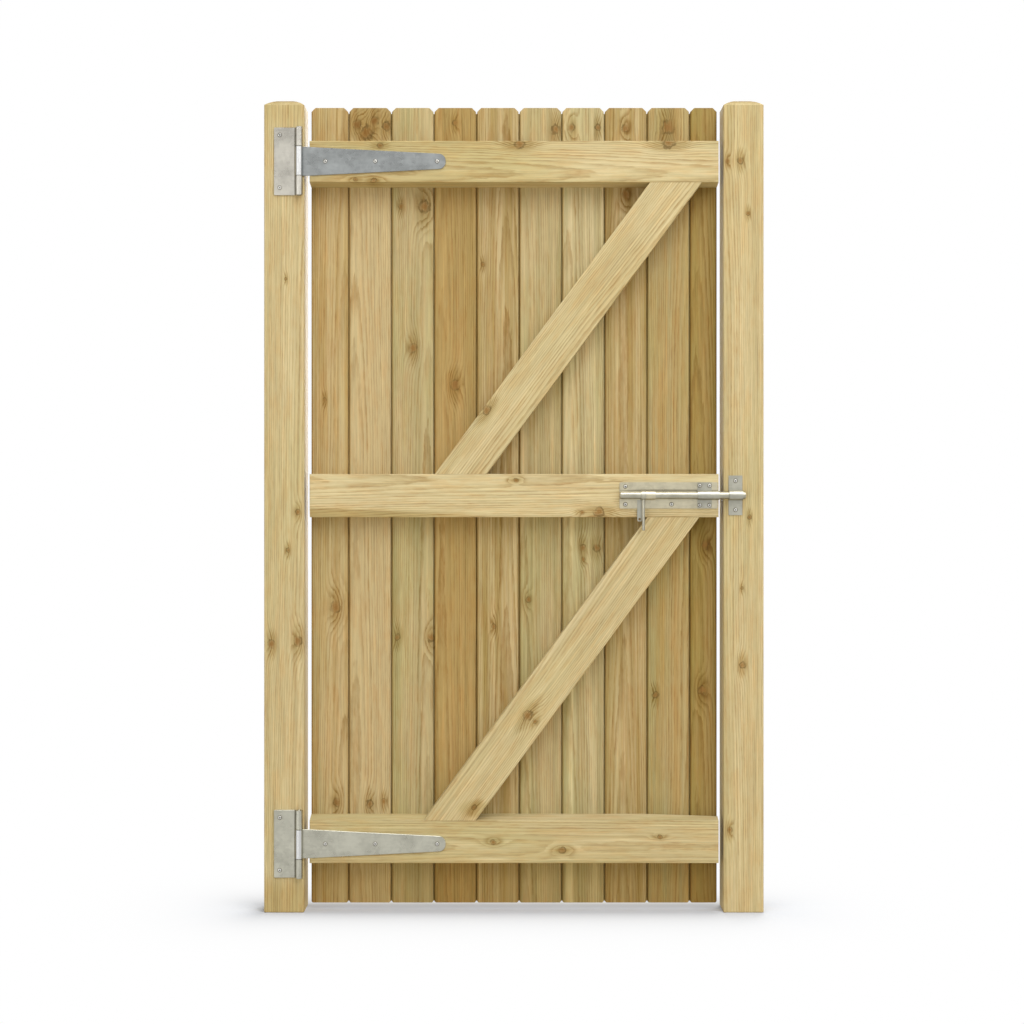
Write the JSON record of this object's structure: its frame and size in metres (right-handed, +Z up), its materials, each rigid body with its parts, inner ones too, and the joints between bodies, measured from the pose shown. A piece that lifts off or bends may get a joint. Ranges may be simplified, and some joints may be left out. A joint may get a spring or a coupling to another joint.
{
  "type": "closeboard garden side gate",
  "caption": "Closeboard timber side gate: ledged and braced leaf of tongued boards between two square posts, hung on tee hinges and locked by a sliding bolt.",
  "frame": {"origin": "middle of the hinge post's foot, at ground level", "axes": "+Z up; +X along the closed gate towards the latch post; the ledged, hinged face looks towards -Y"},
  "size_m": [1.121, 0.1145, 1.828],
  "materials": {
    "board_timber": "rough-sawn, pressure treated",
    "ledge_timber": "planed, pressure treated",
    "post_timber": "planed, pressure treated",
    "galvanised_sheet": "galvanised, dull",
    "galvanised_bar": "zinc plated, bright"
  },
  "bodies": {
    "posts": {"hinge_post": "post_timber", "latch_post": "post_timber", "upper_hinge_plate": "galvanised_sheet", "upper_hinge_pin": "galvanised_bar", "lower_hinge_plate": "galvanised_sheet", "lower_hinge_pin": "galvanised_bar", "bolt_keeper": "galvanised_sheet"},
    "leaf": {"board_01": "board_timber", "board_02": "board_timber", "board_03": "board_timber", "board_04": "board_timber", "board_05": "board_timber", "board_06": "board_timber", "board_07": "board_timber", "board_08": "board_timber", "board_09": "board_timber", "board_10": "board_timber", "top_rail": "ledge_timber", "middle_rail": "ledge_timber", "bottom_rail": "ledge_timber", "upper_brace": "ledge_timber", "lower_brace": "ledge_timber", "upper_hinge_strap": "galvanised_sheet", "lower_hinge_strap": "galvanised_sheet", "bolt_backplate": "galvanised_sheet", "first_guide": "galvanised_sheet", "last_guide": "galvanised_sheet", "padlock_lug": "galvanised_sheet"},
    "bolt": {"bolt_rod": "galvanised_bar"},
    "handle": {"bolt_handle": "galvanised_bar"}
  },
  "joints": [
    {"name": "gate_swing", "type": "hinge", "parent": "posts", "child": "leaf", "pos_m": [0.0345, -0.05305, 0.9], "axis": [0, 0, -1], "range_deg": [0, 170]},
    {"name": "bolt_slide", "type": "slide", "parent": "leaf", "child": "bolt", "axis": [-1, 0, 0], "range_m": [0, 0.06]},
    {"name": "handle_turn", "type": "hinge", "parent": "bolt", "child": "handle", "pos_m": [0.8055, -0.0585, 0.936], "axis": [-1, 0, 0], "range_deg": [0, 180]}
  ]
}
